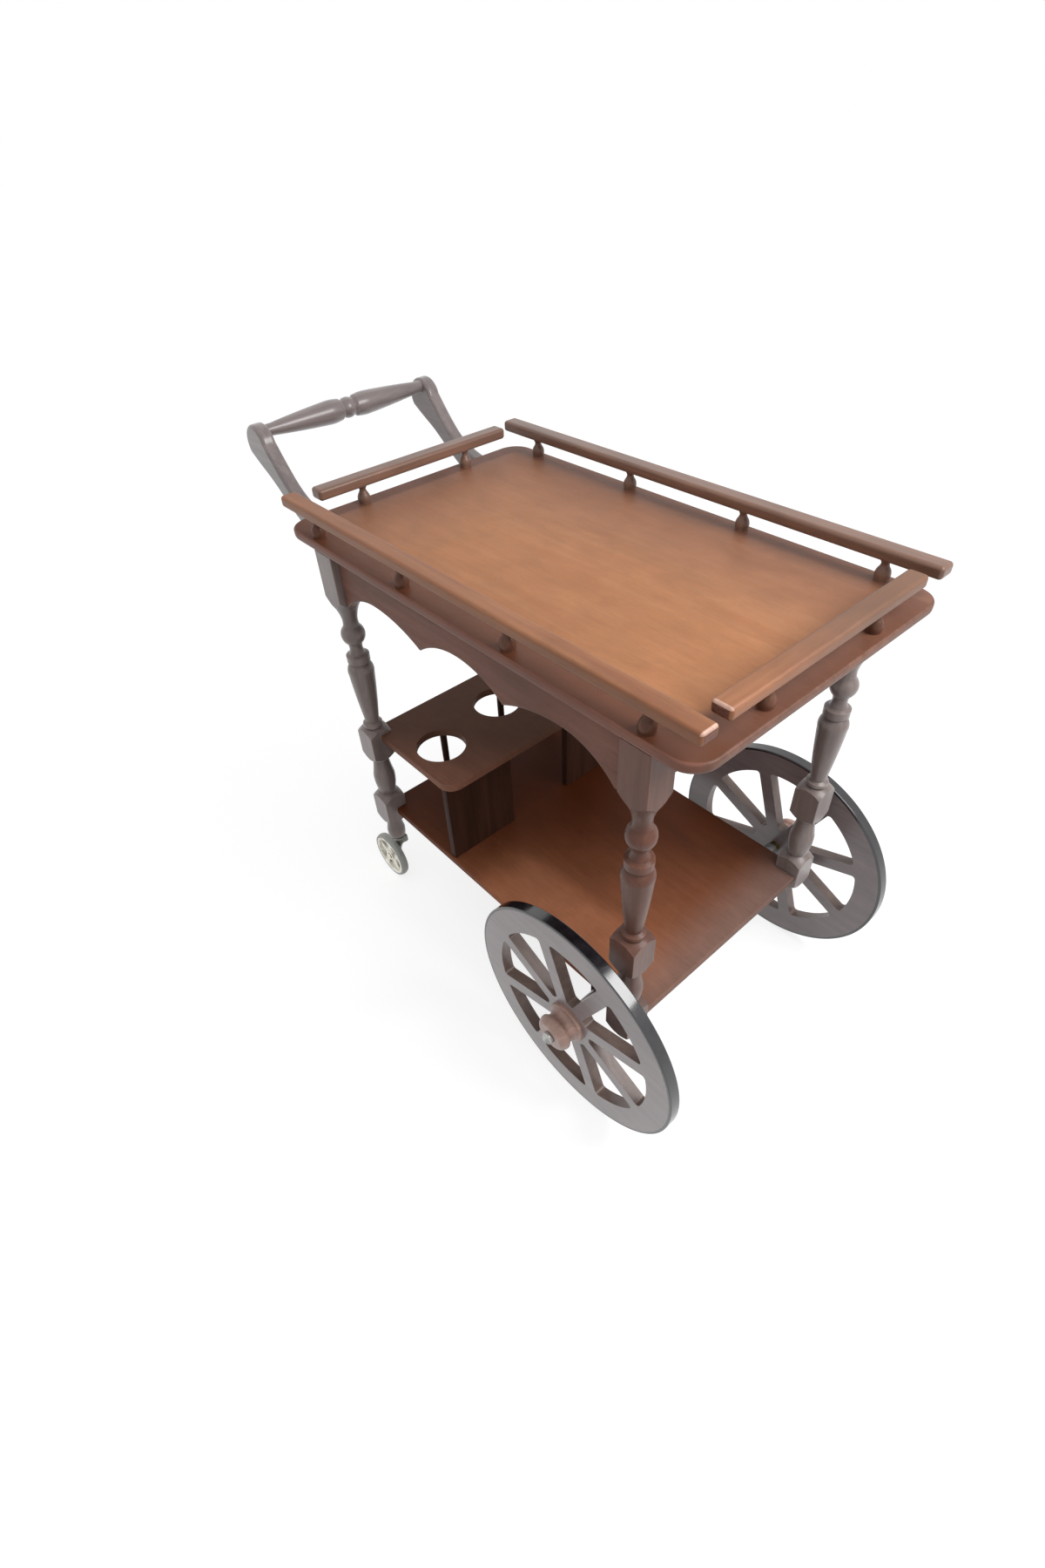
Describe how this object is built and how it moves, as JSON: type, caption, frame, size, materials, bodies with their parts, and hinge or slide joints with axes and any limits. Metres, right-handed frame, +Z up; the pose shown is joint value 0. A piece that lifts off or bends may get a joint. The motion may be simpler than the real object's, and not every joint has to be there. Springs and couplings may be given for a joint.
{
  "type": "tea trolley",
  "caption": "Wooden tea trolley: galleried tray top, turned legs, bottle shelf over a lower shelf, push handle, large spoked wheels and swivel casters.",
  "frame": {"origin": "on the floor, under the middle of the overall length and width", "axes": "+X forward, from the handle to the big wheels; +Y to the left of a person pushing; +Z up"},
  "size_m": [0.9804, 0.5898, 0.8055],
  "materials": {
    "board_wood": "satin lacquer",
    "rail_wood": "satin lacquer",
    "turned_wood": "satin lacquer",
    "wheel_wood": "satin lacquer",
    "tyre_rubber": "satin",
    "steel": "satin",
    "bush_brass": "satin",
    "caster_brass": "dull"
  },
  "bodies": {
    "carcass": {"top_board": "board_wood", "lower_shelf": "board_wood", "bottle_shelf": "board_wood", "bottle_support_right": "board_wood", "bottle_support_left": "board_wood", "apron_right": "board_wood", "apron_left": "board_wood", "end_rail_front": "board_wood", "end_rail_rear": "board_wood", "axle_bearer_right": "board_wood", "axle_bearer_left": "board_wood", "gallery_rail_right": "rail_wood", "gallery_rail_left": "rail_wood", "gallery_rail_front": "rail_wood", "gallery_rail_rear": "rail_wood", "handle_arm_right": "rail_wood", "handle_arm_left": "rail_wood", "gallery_spindle_01": "turned_wood", "gallery_spindle_02": "turned_wood", "gallery_spindle_03": "turned_wood", "gallery_spindle_04": "turned_wood", "gallery_spindle_05": "turned_wood", "gallery_spindle_06": "turned_wood", "gallery_spindle_07": "turned_wood", "gallery_spindle_08": "turned_wood", "gallery_spindle_09": "turned_wood", "gallery_spindle_10": "turned_wood", "gallery_spindle_11": "turned_wood", "gallery_spindle_12": "turned_wood", "leg_front_right": "turned_wood", "leg_front_left": "turned_wood", "leg_rear_right": "turned_wood", "leg_rear_left": "turned_wood", "shelf_dowel_right": "turned_wood", "shelf_dowel_left": "turned_wood", "handle_bar": "turned_wood", "axle_rod": "steel", "axle_spacer_right": "steel", "axle_spacer_left": "steel", "axle_cap_right": "steel", "axle_cap_left": "steel", "caster_socket_right": "steel", "caster_socket_left": "steel"},
    "wheel_right": {"wheel_disc_right": "wheel_wood", "wheel_hub_right": "turned_wood", "wheel_bush_right": "bush_brass", "wheel_tyre_right": "tyre_rubber"},
    "caster_swivel_right": {"caster_fork_right": "steel", "caster_pin_right": "steel"},
    "caster_roller_right": {"caster_wheel_right": "caster_brass", "caster_tyre_right": "tyre_rubber"},
    "wheel_left": {"wheel_disc_left": "wheel_wood", "wheel_hub_left": "turned_wood", "wheel_bush_left": "bush_brass", "wheel_tyre_left": "tyre_rubber"},
    "caster_swivel_left": {"caster_fork_left": "steel", "caster_pin_left": "steel"},
    "caster_roller_left": {"caster_wheel_left": "caster_brass", "caster_tyre_left": "tyre_rubber"}
  },
  "joints": [
    {"name": "wheel_spin_right", "type": "hinge", "parent": "carcass", "child": "wheel_right", "pos_m": [0.30425, -0.241, 0.186], "axis": [0, 1, 0], "continuous": true},
    {"name": "caster_turn_right", "type": "hinge", "parent": "carcass", "child": "caster_swivel_right", "pos_m": [-0.21325, -0.1935, 0.137], "axis": [0, 0, 1], "continuous": true},
    {"name": "caster_roll_right", "type": "hinge", "parent": "caster_swivel_right", "child": "caster_roller_right", "pos_m": [-0.25525, -0.1935, 0.046], "axis": [0, 1, 0], "continuous": true},
    {"name": "wheel_spin_left", "type": "hinge", "parent": "carcass", "child": "wheel_left", "pos_m": [0.30425, 0.241, 0.186], "axis": [0, 1, 0], "continuous": true},
    {"name": "caster_turn_left", "type": "hinge", "parent": "carcass", "child": "caster_swivel_left", "pos_m": [-0.21325, 0.1935, 0.137], "axis": [0, 0, 1], "continuous": true},
    {"name": "caster_roll_left", "type": "hinge", "parent": "caster_swivel_left", "child": "caster_roller_left", "pos_m": [-0.25525, 0.1935, 0.046], "axis": [0, 1, 0], "continuous": true}
  ]
}
